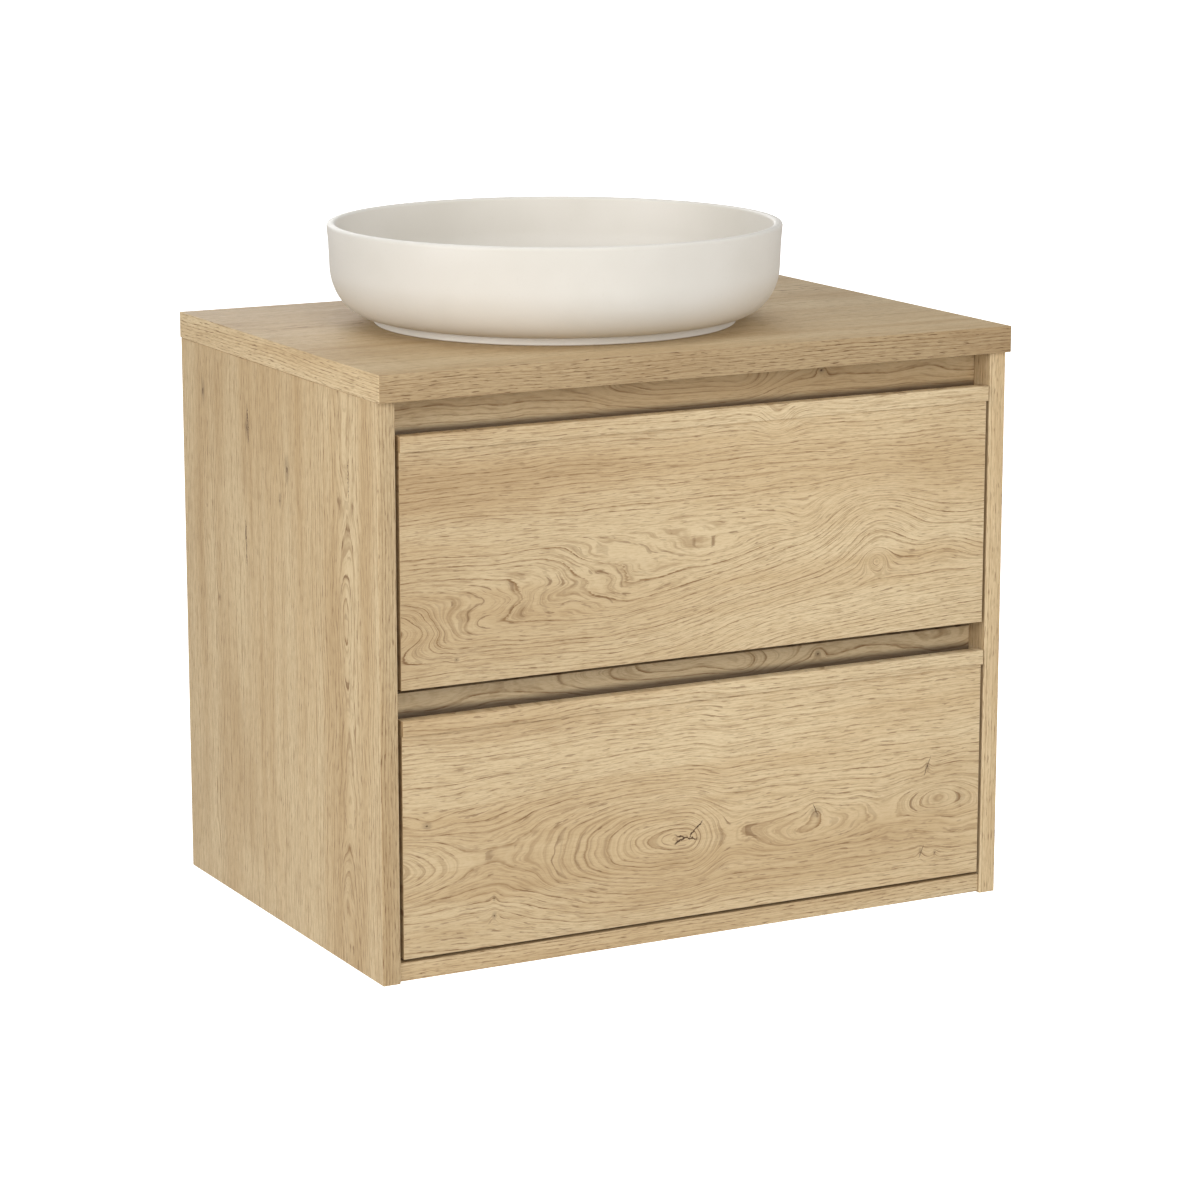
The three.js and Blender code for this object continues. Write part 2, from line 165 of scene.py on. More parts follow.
OAK = {
    "light": tint(217, 196, 158),
    "mid": tint(205, 180, 140),
    "deep": tint(184, 156, 115),
    "line": tint(150, 119, 81),
    "pore": tint(122, 91, 60),
    "knot": tint(84, 60, 40),
    "shade": tint(196, 185, 171),
    # painted shade colour for a rail where it goes down behind a drawer front
    "slot": tint(60, 40, 26),
}


class Heart:
    """Where a log's middle lies under a board, in millimetres: rings are ovals around one place along
    the grain, stretched to each side of it up to a reach, past which they run straight."""

    def __init__(self, at, across, before=0.1, after=0.1, depth=8, lean=0.0, reach=(60, 60)):
        self.at = at * MM
        self.across = across * MM
        self.before = before
        self.after = after
        self.depth = depth * MM
        self.lean = lean
        self.reach = (reach[0] * MM, reach[1] * MM)


class Spot:
    """A knot or a swelling on a face, in millimetres: it pushes the rings, and may have a dark core."""

    def __init__(self, along, across, reach, push, core=0.0, stretch=1.6):
        self.along = along * MM
        self.across = across * MM
        self.reach = reach * MM
        self.push = push * MM
        self.core = core * MM
        self.stretch = stretch


class Fall:
    """A slanting band in millimetres, past which the rings drop in steep flames, up to an end."""

    def __init__(self, along, across, slope, half, drop, end):
        self.slope = slope
        self.level = (across - slope * along) * MM
        self.half = half * MM
        self.drop = drop * MM
        self.end = end * MM


class Split:
    """A short dark crack, in millimetres: its middle, slope, half length and half width."""

    def __init__(self, along, across, slope, half, width):
        self.along = along * MM
        self.across = across * MM
        self.slope = slope
        self.half = half * MM
        self.width = width * MM


def spot_distance(g, along, across, spot):
    x = g.math("DIVIDE", g.math("SUBTRACT", along, spot.along), spot.stretch)
    y = g.math("SUBTRACT", across, spot.across)
    return g.math("SQRT", g.math("MULTIPLY_ADD", x, x, g.math("MULTIPLY", y, y)))


def spot_push(g, distance, spot):
    spread = g.math("DIVIDE", distance, spot.reach)
    fall = g.math("EXPONENT", g.math("MULTIPLY", g.math("MULTIPLY", spread, spread), -1.0))
    return g.math("MULTIPLY", fall, spot.push)


def fall_drop(g, along, across, fold, fall):
    middle = g.math("MULTIPLY_ADD", along, fall.slope, fall.level)
    over = g.total(g.math("SUBTRACT", across, middle), g.about_zero(fold, 0.045))
    drop = g.ramp(over, -fall.half, fall.half, fall.drop, 0.0)
    return g.math("MULTIPLY", drop, g.ramp(along, fall.end - 0.15, fall.end + 0.15, 1.0, 0.0))


def spot_dark(g, distance, spot, ragged):
    """A dark ragged eye in a faint halo."""
    edge = g.total(distance, g.about_zero(ragged, spot.core * 2.6))
    eye = g.ramp(edge, spot.core * 0.3, spot.core * 1.1, 0.85, 0.0)
    halo = g.ramp(edge, spot.core, spot.core * 3.6, 0.3, 0.0)
    return g.math("MAXIMUM", eye, halo)


def split_dark(g, along, across, split, ragged):
    x = g.math("SUBTRACT", along, split.along)
    off = g.math("MULTIPLY_ADD", x, -split.slope, g.math("SUBTRACT", across, split.across))
    off = g.math("ABSOLUTE", g.total(off, g.about_zero(ragged, 0.006)))
    thin = g.ramp(off, split.width * 0.35, split.width, 1.0, 0.0)
    ends = g.ramp(g.math("ABSOLUTE", x), split.half * 0.55, split.half, 1.0, 0.0)
    return g.math("MULTIPLY", thin, ends)


def ring_field(g, along, across, shifted, heart, waver):
    """Distance in rings from the log's middle, before knots and teeth."""
    slow = g.noise(g.vector("MULTIPLY", shifted, (5.0, 12.0, 12.0)), detail=1.5)
    middle = g.math("MULTIPLY_ADD", along, heart.lean, heart.across)
    side = g.total(g.math("SUBTRACT", across, middle), g.about_zero(slow, waver))
    off = g.math("SUBTRACT", along, heart.at)
    after = g.math("MULTIPLY", off, heart.after)
    before = g.math("MULTIPLY", off, -heart.before)
    after = g.math("SMOOTH_MIN", after, heart.reach[1], heart.reach[1] * 0.5)
    before = g.math("SMOOTH_MIN", before, heart.reach[0], heart.reach[0] * 0.5)
    run = g.math("MAXIMUM", before, after)
    square = g.math("MULTIPLY_ADD", side, side, g.math("MULTIPLY", run, run))
    return g.math("SQRT", g.math("ADD", square, heart.depth * heart.depth))


def oak_fibres(g, along, strand, across, seed):
    """Long fine streaks that follow the rings, short dark pores, and a straight fine fuzz."""
    streaks = g.noise(g.join(g.math("MULTIPLY", along, 26.0), g.math("MULTIPLY", strand, 820.0), seed),
                      detail=3.0, roughness=0.7)
    pores = g.noise(g.join(g.math("MULTIPLY", along, 85.0), g.math("MULTIPLY", strand, 960.0), seed + 3),
                    detail=1.5, roughness=0.6)
    fuzz = g.noise(g.join(g.math("MULTIPLY", along, 110.0), g.math("MULTIPLY", across, 1100.0), seed),
                   detail=2.0, roughness=0.7)
    return streaks, pores, fuzz


def oak_ground(g, shifted, fuzz, bands):
    """The pale ground: broad soft bands along the grain, clouds, and fine fuzz."""
    broad = g.noise(g.vector("MULTIPLY", shifted, (1.7, 20.0, 20.0)), detail=4.0, roughness=0.6)
    cloud = g.noise(g.vector("MULTIPLY", shifted, (6.0, 12.0, 12.0)), detail=2.0)
    color = g.blend(g.ramp(broad, 0.38, 0.62), OAK["light"], OAK["mid"])
    color = g.blend(g.ramp(broad, 0.54, 0.72, 0.0, 0.55 * bands), color, OAK["deep"])
    color = g.blend(g.ramp(cloud, 0.5, 0.75, 0.0, 0.35 * bands), color, OAK["deep"])
    return g.blend(g.ramp(fuzz, 0.42, 0.70, 0.0, 0.45), color, OAK["deep"])


def bent_rings(g, along, across, shifted, heart, waver, flow, fall, pushes):
    """The ring field once folds, a fall and knots have bent it."""
    radius = ring_field(g, along, across, shifted, heart, waver)
    fold = g.noise(g.vector("MULTIPLY", shifted, (11.0, 24.0, 24.0)), detail=2.0)
    near = g.ramp(radius, 0.04, 0.14, 1.0, 0.4)
    bends = g.math("MULTIPLY", g.about_zero(fold, flow), near)
    if fall:
        bends = g.total(bends, fall_drop(g, along, across, fold, fall))
    return g.total(radius, g.total(bends, *pushes))


def late_wood(g, field, shifted, spacing, teeth):
    """How far through its ring a place is, and how dark the ring's late wood is there."""
    saw = g.noise(g.vector("MULTIPLY", shifted, (60.0, 560.0, 560.0)), detail=3.0, roughness=0.7)
    count = g.math("DIVIDE", g.total(field, g.about_zero(saw, teeth)), spacing)
    phase = g.math("FRACT", count)
    weight = g.ramp(g.random(g.math("FLOOR", count)), 0.15, 1.0, 0.12, 1.0)
    rise = g.total(g.ramp(phase, 0.72, 0.95, 0.0, 0.8), g.ramp(phase, 0.3, 0.9, 0.0, 0.2))
    late = g.math("MULTIPLY", rise, g.ramp(phase, 0.95, 1.0, 1.0, 0.0))
    return phase, g.math("MULTIPLY", late, weight)


def oak_lines(g, color, streaks, pores, late, contrast):
    """Dark and pale streaks, and the broken lines of the late wood."""
    color = g.blend(g.ramp(streaks, 0.48, 0.66, 0.0, 0.5 * contrast), color, OAK["line"])
    color = g.blend(g.ramp(streaks, 0.30, 0.44, 0.35, 0.0), color, OAK["light"])
    broken = g.math("MULTIPLY", late, g.ramp(pores, 0.3, 0.6, 0.45, 1.0))
    return g.blend(g.math("MULTIPLY", broken, 1.15 * contrast, clamp=True), color, OAK["line"])


def oak_marks(g, color, along, across, shifted, spots, distances, splits):
    """The dark cores of knots, and cracks."""
    if not splits and not any(spot.core for spot in spots):
        return color
    ragged = g.noise(g.vector("MULTIPLY", shifted, (180.0, 260.0, 260.0)), detail=2.0, roughness=0.7)
    dark = [spot_dark(g, d, spot, ragged) for d, spot in zip(distances, spots) if spot.core]
    dark += [split_dark(g, along, across, split, ragged) for split in splits]
    deepest = dark[0]
    for amount in dark[1:]:
        deepest = g.math("MAXIMUM", deepest, amount)
    return g.blend(deepest, color, OAK["knot"])


def oak_tone_and_painted_shade(g, color, place, tone, fade, slot_painted_shade):
    """A deeper tone over the whole face, painted shade towards its left end, and painted shade low behind a
    drawer front.
    """
    if tone or fade:
        # painted shade: the face darkens towards its left end, on top of its even tone
        shade = g.ramp(place[0], -0.30, 0.16, tone + fade, tone)
        color = g.blend(shade, color, OAK["shade"], "MULTIPLY")
    # painted shadow: the board turns near black low behind a drawer front's top
    if slot_painted_shade:
        low, high = slot_painted_shade
        color = g.blend(g.ramp(place[2], low, high, 0.8, 0.0), color, OAK["slot"])
    return color


def oak(name, axes, heart, spacing, seed, spots=(), splits=(), waver=0.03, flow=0.02, teeth=1.0,
        contrast=1.0, speckle=1.0, bands=1.0, tone=0.0, fade=0.0, slot_painted_shade=None, fall=None):
    """Oak decor. axes names the along-grain, across-grain and depth axes, such as "XZY".

    spacing is the ring width in millimetres. waver bends the grain slowly, flow folds it into
    flames and teeth gives the lines that cross the grain their saw edge. tone deepens the whole
    face, fade adds painted shade that deepens it towards the left end, and
    slot_painted_shade gives heights between which painted shade darkens the board where it goes
    down behind a drawer.
    """
    g = Graph(name)
    place = g.split(g.place)
    along, across, depth = (place["XYZ".index(axis)] for axis in axes)
    shifted = g.vector("ADD", g.join(along, across, depth), (seed * 1.7, seed * 0.9, seed * 2.3))
    distances = [spot_distance(g, along, across, spot) for spot in spots]
    pushes = [spot_push(g, distance, spot) for distance, spot in zip(distances, spots)]
    field = bent_rings(g, along, across, shifted, heart, waver, flow, fall, pushes)
    phase, late = late_wood(g, field, shifted, spacing * MM, teeth * MM)
    streaks, pores, fuzz = oak_fibres(g, along, field, across, seed)
    pitted = g.math("MULTIPLY", g.ramp(pores, 0.57, 0.64), g.ramp(phase, 0.4, 0.95, 0.35, 1.0))

    color = oak_ground(g, shifted, fuzz, bands)
    color = oak_lines(g, color, streaks, pores, late, contrast)
    color = g.blend(g.math("MULTIPLY", pitted, 0.62 * speckle, clamp=True), color, OAK["pore"])
    color = oak_marks(g, color, along, across, shifted, spots, distances, splits)
    color = oak_tone_and_painted_shade(g, color, place, tone, fade, slot_painted_shade)
    g.relief(g.math("MULTIPLY_ADD", pitted, -0.7, g.math("MULTIPLY", streaks, 0.5)), 0.12 * MM, 0.5)
    return g.finish(color, g.ramp(fuzz, 0.3, 0.7, 0.58, 0.7), Specular_IOR_Level=0.3)


def upper_front_oak():
    """Flames low on the left, a small closed eye on the right and a fold under the top edge."""
    spots = [
        Spot(171, 256, 9, -14, stretch=1.2), Spot(171, 292, 34, -24, stretch=1.3),
        Spot(70, 384, 14, 13, stretch=1.2), Spot(-231, 211, 6, 2, 0.8, 1.2), Spot(244, 262, 16, -7),
        Spot(100, 300, 18, 8, stretch=1.2), Spot(-283, 236, 20, -18, stretch=1.6),
    ]
    fall = Fall(-277, 240, 0.17, 34, 44, 50)
    return oak("oak_upper_front", "XZY", Heart(-335, -120, 0.02, 0.02, 5), 3.5, 3.1, spots, waver=0.014,
               flow=0.026, teeth=1.7, fade=0.42, fall=fall)


def lower_front_oak():
    """A wide oval eye around a split knot, with small knots at the right."""
    spots = [
        Spot(113, 39, 8, -5, 1.9, 1.2), Spot(227, 66, 8, -4, 1.7, 0.5), Spot(221, -11, 8, 3, 1.5, 0.5),
        Spot(236, -14, 5, 2, 1.0, 0.6), Spot(-259, 74, 9, 4, 1.3), Spot(-198, 4, 6, 2, 0.9, 0.6),
        Spot(-198, -11, 8, 3, 1.3, 0.7), Spot(238, 37, 17, -11, stretch=2.0),
        Spot(100, 24, 18, -7, stretch=2.4), Spot(-290, 36, 30, -24, stretch=1.7),
        Spot(-20, 118, 34, 8, stretch=2.8),
    ]
    splits = [
        Split(-15, 33, -0.28, 13, 1.1), Split(-6, 39, 0.95, 8, 1.3), Split(-21, 31, 0.5, 7, 1.1),
        Split(227, 66, 2.4, 4, 0.9), Split(113, 41, -2.0, 3, 0.9), Split(222, -11, 2.0, 3, 0.8),
    ]
    heart = Heart(-17, 32, 0.3, 0.85, 3, -0.02, (52, 30))
    return oak("oak_lower_front", "XZY", heart, 3.4, 7.4, spots, splits, waver=0.014, flow=0.014,
               contrast=0.85, fade=0.32)


def left_side_oak():
    """Upright grain with flames near the front and small dark marks."""
    spots = [
        Spot(388, -49, 7, 3, 1.5, 3.0), Spot(369, -147, 7, 3, 1.6, 3.0), Spot(346, -232, 8, 4, 1.8, 2.6),
        Spot(317, -216, 6, 3, 1.1, 2.4), Spot(276, -140, 7, 3, 0.8, 4.0), Spot(207, -78, 6, 3, 0.9),
        Spot(290, -44, 14, -9, stretch=4.0), Spot(243, -347, 12, -6, stretch=3.0),
        Spot(-3, -339, 12, -5, stretch=3.0), Spot(17, -57, 12, -7, stretch=3.0),
    ]
    splits = [Split(372, -149, 0.05, 20, 0.8), Split(268, -141, 0.03, 24, 0.7),
              Split(357, -357, 0.02, 18, 0.6)]
    heart = Heart(-300, -352, 0.1, 0.07, 4, 0.01, (40, 30))
    return oak("oak_left_side", "ZYX", heart, 3.6, 21.0, spots, splits, waver=0.014, flow=0.011,
               bands=1.3, tone=0.26)


def rail_oak(name, level, front_top, seed):
    """Rail decor around an eye near a height, with painted shade from just under to just over a front's top.
    """
    # painted shadow band around the top of the drawer front below
    slot_painted_shade = (front_top - 2 * MM, front_top + 5 * MM)
    spots = [Spot(52, level + 6, 15, -9, stretch=1.9), Spot(128, level + 9, 6, 3, 1.2, 1.1)]
    heart = Heart(0, level + 16, 0.2, 0.25, 4, 0.0, (24, 24))
    return oak(name, "XZY", heart, 3.8, seed, spots, waver=0.014, flow=0.012, contrast=0.9,
               speckle=0.4, bands=0.4, tone=0.2, slot_painted_shade=slot_painted_shade)


def edge_oak(name, axes, away, seed, **settings):
    """Straight fine grain for edge banding, its log's middle far away."""
    heart = Heart(0, away, 0.02, 0.02, 9)
    return oak(name, axes, heart, 3.0, seed, waver=0.012, flow=0.008, contrast=0.9, **settings)


def oak_faces():
    """The decor of each face of the boards."""
    plain_side = Heart(300, -300, 0.05, 0.05, 6, 0.02)
    return {
        "upper": upper_front_oak(),
        "lower": lower_front_oak(),
        "left": left_side_oak(),
        "right": oak("oak_right_side", "ZYX", plain_side, 3.6, 27.0, waver=0.02, bands=1.3, tone=0.1),
        "top": oak("oak_worktop", "XYZ", Heart(-400, -130, 0.1, 0.06, 8, 0.04), 5.0, 33.0, waver=0.03,
                   contrast=0.7, tone=0.2, fade=0.2),
        "top_edge": edge_oak("oak_worktop_edge", "XZY", 700, 43.0, speckle=1.5, tone=0.8),
        "edge_x": edge_oak("oak_edge_along", "XZY", 700, 41.0, speckle=1.4, tone=0.1, fade=0.1),
        "edge_y": edge_oak("oak_edge_across", "YZX", 700, 44.0, speckle=1.4, tone=0.1),
        "edge_z": edge_oak("oak_edge_upright", "ZXY", 500, 47.0, speckle=1.2, fade=0.45),
        # painted shade: the edges of the fronts face into the gaps, so their banding is made much darker
        "front_edge_painted_shade": edge_oak("oak_front_edge", "ZXY", 500, 49.0, tone=0.95),
        "rail_low": rail_oak("oak_rail_low", 164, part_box("lower_grip_strip")[1].z, 55.0),
        "rail_high": rail_oak("oak_rail_high", 412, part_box("upper_grip_strip")[1].z, 55.0),
        "back_rail": oak("oak_back_rail", "XZY", plain_side, 5.0, 57.0, tone=0.2),
        "base": oak("oak_base", "XYZ", Heart(-100, -100, 0.06, 0.06, 20), 5.0, 61.0, contrast=0.7, tone=0.6),
    }


# ---- other finishes ----


def glazed_clay():
    """Matt warm-white glaze: faint clouds, sparse fine flecks and a painted highlight that makes the lip
    paler.
    """
    g = Graph("matt_glaze")
    clouds = g.noise(g.place, 9.0, 3.0)
    flecks = g.noise(g.place, 420.0, 2.0)
    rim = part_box("basin")[1].z
    # painted highlight: the top 2 mm of the rim is made paler
    lip = g.ramp(g.split(g.place)[2], rim - 2.0 * MM, rim - 0.4 * MM, 0.0, 0.5)
    color = g.blend(g.ramp(clouds, 0.35, 0.65), tint(216, 211, 202), tint(211, 206, 196))
    color = g.blend(g.ramp(flecks, 0.62, 0.8, 0.0, 0.22), color, tint(203, 196, 184))
    color = g.blend(lip, color, tint(232, 229, 222))
    eggshell = g.noise(g.place, 1300.0, 2.0)
    g.relief(g.math("MULTIPLY_ADD", clouds, 0.6, g.math("MULTIPLY", eggshell, 0.4)), 0.05 * MM, 0.5)
    return g.finish(color, g.ramp(flecks, 0.3, 0.7, 0.46, 0.56), Specular_IOR_Level=0.4,
                    Coat_Weight=0.06, Coat_Roughness=0.4)


def bare_clay():
    """The unglazed ring that the basin stands on."""
    g = Graph("bare_clay")
    grit = g.noise(g.place, 900.0, 3.0)
    g.relief(grit, 0.1 * MM)
    return g.finish(g.blend(grit, tint(214, 204, 188), tint(196, 184, 166)), 0.9)


def drawer_melamine():
    """Pale faced board with a fine woven print."""
    g = Graph("drawer_melamine")
    threads = g.noise(g.vector("MULTIPLY", g.place, (260.0, 900.0, 900.0)))
    cross = g.noise(g.vector("MULTIPLY", g.place, (900.0, 260.0, 260.0)))
    weave = g.math("MULTIPLY", g.math("ADD", threads, cross), 0.5)
    g.relief(weave, 0.08 * MM, 0.7)
    return g.finish(g.blend(g.ramp(weave, 0.4, 0.6), tint(212, 206, 195), tint(196, 189, 176)),
                    g.ramp(weave, 0.4, 0.6, 0.55, 0.7), Specular_IOR_Level=0.35)


def raw_chipboard():
    """The pressed core that shows inside a drilled hole."""
    g = Graph("raw_chipboard")
    chips = g.noise(g.vector("MULTIPLY", g.place, (260.0, 260.0, 700.0)), detail=4.0, roughness=0.7)
    g.relief(chips, 0.4 * MM)
    return g.finish(g.blend(g.ramp(chips, 0.35, 0.65), tint(186, 156, 112), tint(128, 98, 64)), 0.95)


def zinc_plate():
    """Rolled and plated steel with a faint spangle."""
    g = Graph("zinc_plate")
    drawn = g.noise(g.vector("MULTIPLY", g.place, (900.0, 18.0, 900.0)), detail=3.0)
    spots = g.noise(g.place, 60.0, 3.0)
    g.relief(drawn, 0.03 * MM, 0.6)
    return g.finish(g.blend(g.ramp(spots, 0.35, 0.65), tint(196, 198, 200), tint(176, 178, 182)),
                    g.ramp(drawn, 0.3, 0.7, 0.26, 0.42), Metallic=0.95)


def bright_chrome():
    g = Graph("bright_chrome")
    haze = g.noise(g.place, 120.0, 3.0)
    return g.finish(g.blend(haze, tint(228, 230, 232), tint(218, 221, 224)),
                    g.ramp(haze, 0.3, 0.8, 0.05, 0.14), Metallic=1.0)


def moulded_plastic(name, pale, shade, roughness):
    g = Graph(name)
    cloud = g.noise(g.place, 35.0, 2.0)
    grain = g.noise(g.place, 1600.0, 1.0)
    g.relief(grain, 0.03 * MM, 0.5)
    return g.finish(g.blend(cloud, pale, shade), g.ramp(grain, 0.3, 0.7, roughness - 0.06, roughness + 0.06))


oaks = oak_faces()
glaze = glazed_clay()
clay = bare_clay()
melamine = drawer_melamine()
chipboard = raw_chipboard()
zinc = zinc_plate()
chrome = bright_chrome()
white_plastic = moulded_plastic("white_plastic", tint(236, 235, 231), tint(228, 227, 222), 0.42)
seal_rubber = moulded_plastic("seal_rubber", tint(84, 84, 85), tint(70, 70, 71), 0.75)


# ---- modelling tools ----


def edit(mode):
    bpy.ops.object.mode_set(mode="EDIT")
    bpy.ops.mesh.select_mode(type=mode)


def leave():
    bpy.ops.object.mode_set(mode="OBJECT")


def only(piece):
    """Makes the piece the one selected and active object."""
    bpy.ops.object.select_all(action="DESELECT")
    piece.select_set(True)
    bpy.context.view_layer.objects.active = piece


def pick(piece, kind, test):
    """Selects only the vertices, edges or faces that pass the test, from object mode."""
    mesh = piece.data
    for group in (mesh.vertices, mesh.edges, mesh.polygons):
        group.foreach_set("select", [False] * len(group))
    for item in getattr(mesh, kind):
        item.select = test(item)


def settle(piece, name):
    """Names the piece and puts its place into its mesh."""
    only(piece)
    piece.name = name
    piece.data.name = name
    bpy.ops.object.transform_apply(location=True, rotation=True, scale=True)
    return piece


def block(name, low, high):
    """A plain block between two corners, to be shaped further."""
    bpy.ops.object.select_all(action="DESELECT")
    low, high = Vector(low), Vector(high)
    bpy.ops.mesh.primitive_cube_add(size=1, location=(low + high) / 2, scale=high - low)
    return settle(bpy.context.object, name)


def peg(name, centre, radius, length, axis="Z", sides=32):
    """A plain peg along an axis, to be shaped further."""
    bpy.ops.object.select_all(action="DESELECT")
    turn = {"X": (0, math.pi / 2, 0), "Y": (math.pi / 2, 0, 0), "Z": (0, 0, 0)}[axis]
    bpy.ops.mesh.primitive_cylinder_add(vertices=sides, radius=radius, depth=length, location=centre,
                                        rotation=turn)
    return settle(bpy.context.object, name)


def use(piece, kind, **settings):
    """Adds a modifier and applies it."""
    only(piece)
    made = piece.modifiers.new("shape", kind)
    for key, value in settings.items():
        setattr(made, key, value)
    bpy.ops.object.modifier_apply(modifier=made.name)


def soften(piece, radius, segments=3, angle=40):
    """Rounds every sharp edge."""
    use(piece, "BEVEL", width=radius, segments=segments, limit_method="ANGLE",
        angle_limit=math.radians(angle), use_clamp_overlap=True)


def cut(piece, cutter):
    """Takes the cutter's shape out of the piece."""
    use(piece, "BOOLEAN", object=cutter, operation="DIFFERENCE", solver="EXACT")
    bpy.data.objects.remove(cutter)


def drill(piece, centre, radius, length, axis="Z", sides=24):
    cut(piece, peg("drill", centre, radius, length, axis, sides))


def smooth(piece, angle=35):
    only(piece)
    bpy.ops.object.shade_smooth_by_angle(angle=math.radians(angle))


def dress(piece, *looks):
    piece.data.materials.clear()
    for look in looks:
        piece.data.materials.append(look)


def seat(piece, body, slot, *nodes):
    """Puts a finished piece on its body, in place of the nodes it dresses; slot is not used."""
    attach(piece, body)
    if nodes:
        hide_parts(*nodes)


def turned(name, outline, centre, axis="Z", steps=64):
    """Spins a closed outline of (radius, distance along the axis) points about an axis."""
    bpy.ops.object.select_all(action="DESELECT")
    along = Vector((0, 0, 1)) if axis == "Z" else Vector((0, 1, 0))
    centre = Vector(centre)
    places = [centre + Vector((r, 0, 0)) + along * h for r, h in outline]
    bpy.ops.mesh.primitive_plane_add(size=0.001, location=(0, 0, 0))
    piece = bpy.context.object
    edit("VERT")
    bpy.ops.mesh.select_all(action="SELECT")
    bpy.ops.mesh.merge(type="CENTER")
    bpy.ops.transform.translate(value=places[0])
    for here, there in zip(places, places[1:]):
        bpy.ops.mesh.extrude_vertices_move(TRANSFORM_OT_translate={"value": there - here})
    leave()
    if outline[0][0] > 0:
        last = len(piece.data.vertices) - 1
        pick(piece, "vertices", lambda v: v.index in (0, last))
        edit("VERT")
        bpy.ops.mesh.edge_face_add()
        leave()
    edit("VERT")
    bpy.ops.mesh.select_all(action="SELECT")
    bpy.ops.mesh.spin(steps=steps, angle=2 * math.pi, center=centre, axis=along)
    bpy.ops.mesh.select_all(action="SELECT")
    bpy.ops.mesh.remove_doubles(threshold=0.00001)
    bpy.ops.mesh.normals_make_consistent(inside=False)
    leave()
    return settle(piece, name)


def arc(centre, radii, start, end, steps):
    """Points of an ellipse's arc, angles in degrees."""
    turns = [math.radians(start + (end - start) * i / steps) for i in range(steps + 1)]
    return [(centre[0] + radii[0] * math.cos(t), centre[1] + radii[1] * math.sin(t)) for t in turns]


def recast(node, name):
    """A fresh, clean copy of a node's own solid, to be finished further."""
    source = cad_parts[node]
    piece = bpy.data.objects.new(name, source.data.copy())
    bpy.context.scene.collection.objects.link(piece)
    only(piece)
    edit("VERT")
    bpy.ops.mesh.select_all(action="SELECT")
    bpy.ops.mesh.remove_doubles(threshold=0.000005)
    bpy.ops.mesh.dissolve_limited(angle_limit=math.radians(1))
    leave()
    return settle(piece, name)


def copies(piece, name, moves):
    """The piece repeated at each move, as one object, each copy with its own mesh."""
    made = []
    for move in moves:
        twin = piece.copy()
        twin.data = piece.data.copy()
        twin.data.transform(move)
        bpy.context.scene.collection.objects.link(twin)
        made.append(twin)
    bpy.data.objects.remove(piece)
    only(made[0])
    for twin in made:
        twin.select_set(True)
    bpy.ops.object.join()
    return settle(made[0], name)


def middle_of(node):
    low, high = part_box(node)
    return (low + high) / 2


# ---- boards ----


def dress_board(piece, face, bands, axis):
    """The two large faces carry one decor and the edges carry banding by their direction."""
    dress(piece, face, *bands)
    others = [i for i in range(3) if i != axis]
    for polygon in piece.data.polygons:
        normal = polygon.normal
        if abs(normal[axis]) > 0.9:
            polygon.material_index = 0
        else:
            strongest = max(others, key=lambda i: abs(normal[i]))
            polygon.material_index = 1 + (others.index(strongest) if len(bands) > 1 else 0)


def banded_board(node, body, slot, face, axis, bands, radius=0.8):
    low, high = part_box(node)
    piece = block(node + "_board", low, high)
    soften(piece, radius * MM)
    dress_board(piece, face, bands, "XYZ".index(axis))
    smooth(piece)
    seat(piece, body, slot, node)


def carcass():
    side_bands = (oaks["edge_z"], oaks["edge_y"])
    rail_bands = (oaks["edge_x"],)
    banded_board("side_panel_left", "cabinet", "oak", oaks["left"], "X", side_bands)
    banded_board("side_panel_right", "cabinet", "oak", oaks["right"], "X", side_bands)
    banded_board("bottom_panel", "cabinet", "oak", oaks["base"], "Z", (oaks["edge_y"], oaks["edge_x"]))
    banded_board("front_rail_top", "cabinet", "oak_rail", oaks["rail_high"], "Y", rail_bands, 0.5)
    banded_board("front_rail_middle", "cabinet", "oak_rail", oaks["rail_low"], "Y", rail_bands, 0.5)
    banded_board("back_rail_upper", "cabinet", "oak_rail", oaks["back_rail"], "Y", rail_bands, 0.5)
    banded_board("back_rail_lower", "cabinet", "oak_rail", oaks["back_rail"], "Y", rail_bands, 0.5)


def worktop():
    """The top board, drilled for the basin's waste."""
    low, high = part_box("worktop")
    hole = middle_of("basin")
    hole.z = (low.z + high.z) / 2
    piece = block("worktop_board", low, high)
    soften(piece, 0.8 * MM)
    drill(piece, hole, 32 * MM, 60 * MM, sides=48)
    dress_board(piece, oaks["top"], (oaks["edge_y"], oaks["top_edge"]), 2)
    piece.data.materials.append(chipboard)
    for polygon in piece.data.polygons:
        reach = (polygon.center - hole).xy.length
        if reach < 32.5 * MM and abs(polygon.normal.z) < 0.5:
            polygon.material_index = 3
    smooth(piece)
    seat(piece, "cabinet", "oak", "worktop")


def drawer_front(level):
    """A front board and the grip strip that stands a little proud along its top edge."""
    body = level + "_drawer"
    look = oaks[level]
    banded_board(level + "_drawer_front", body, "oak", look, "Y", (oaks["front_edge_painted_shade"],), 0.4)
    low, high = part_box(level + "_grip_strip")
    low.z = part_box(level + "_drawer_front")[1].z
    strip = block(level + "_grip_oak", low, high)
    pick(strip, "edges", lambda e: all(
        strip.data.vertices[i].co.y > high.y - MM and strip.data.vertices[i].co.z > high.z - MM
        for i in e.vertices))
    edit("EDGE")
    bpy.ops.mesh.bevel(offset=10 * MM, segments=1, affect="EDGES")
    leave()
    soften(strip, 0.15 * MM, 2)
    dress_board(strip, look, (oaks["front_edge_painted_shade"], look), 1)
    smooth(strip)
    seat(strip, body, "oak", level + "_grip_strip")


def drawer_board(node, body, look, slot, radius=1.0):
    """A drawer board with softly rounded edges."""
    low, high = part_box(node)
    piece = block(node + "_board", low, high)
    soften(piece, radius * MM, 4)
    dress(piece, look)
    smooth(piece)
    seat(piece, body, slot, node)


